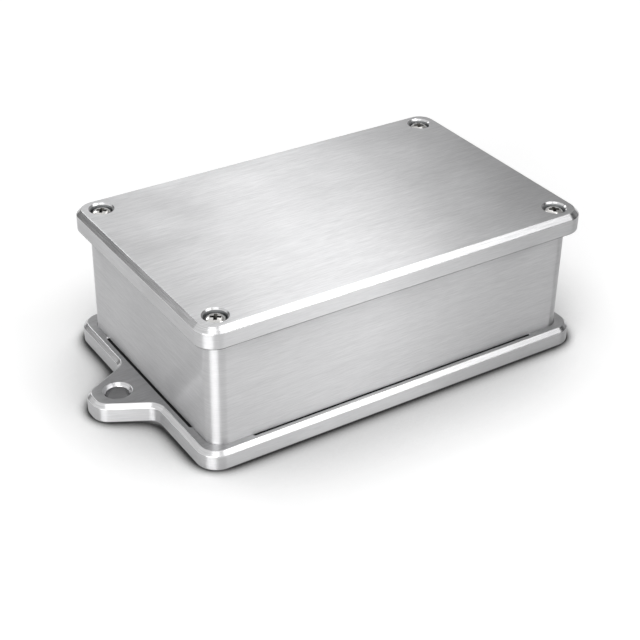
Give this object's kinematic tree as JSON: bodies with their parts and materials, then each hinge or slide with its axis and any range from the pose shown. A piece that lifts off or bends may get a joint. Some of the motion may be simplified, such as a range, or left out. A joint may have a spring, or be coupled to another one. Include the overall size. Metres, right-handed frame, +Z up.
{
  "type": "die cast aluminium box",
  "caption": "Rectangular aluminium enclosure with a screwed chamfered lid on a chamfered base plate that has a holed mounting ear at each end.",
  "frame": {"origin": "middle of the base plate's underside", "axes": "+X along the box from ear to ear, +Y across it, +Z up out of the lid"},
  "size_m": [0.156, 0.0812, 0.0439],
  "materials": {
    "brushed_aluminium": "brushed",
    "black_rubber": "matt",
    "plated_steel": "bright nickel plate"
  },
  "bodies": {
    "case": {"body": "brushed_aluminium", "base_plate": "brushed_aluminium", "base_seal": "black_rubber", "base_screw_front_left": "plated_steel", "base_screw_front_right": "plated_steel", "base_screw_rear_left": "plated_steel", "base_screw_rear_right": "plated_steel"},
    "lid": {"lid": "brushed_aluminium", "lid_seal": "black_rubber"},
    "lid_screw_front_left": {"lid_screw_front_left": "plated_steel"},
    "lid_screw_front_right": {"lid_screw_front_right": "plated_steel"},
    "lid_screw_rear_left": {"lid_screw_rear_left": "plated_steel"},
    "lid_screw_rear_right": {"lid_screw_rear_right": "plated_steel"}
  },
  "joints": [
    {"name": "lid_lift", "type": "slide", "parent": "case", "child": "lid", "axis": [0, 0, 1], "range_m": [0, 0.05]},
    {"name": "screw_out_front_left", "type": "slide", "parent": "lid", "child": "lid_screw_front_left", "axis": [0, 0, 1], "range_m": [0, 0.018]},
    {"name": "screw_out_front_right", "type": "slide", "parent": "lid", "child": "lid_screw_front_right", "axis": [0, 0, 1], "range_m": [0, 0.018]},
    {"name": "screw_out_rear_left", "type": "slide", "parent": "lid", "child": "lid_screw_rear_left", "axis": [0, 0, 1], "range_m": [0, 0.018]},
    {"name": "screw_out_rear_right", "type": "slide", "parent": "lid", "child": "lid_screw_rear_right", "axis": [0, 0, 1], "range_m": [0, 0.018]}
  ]
}
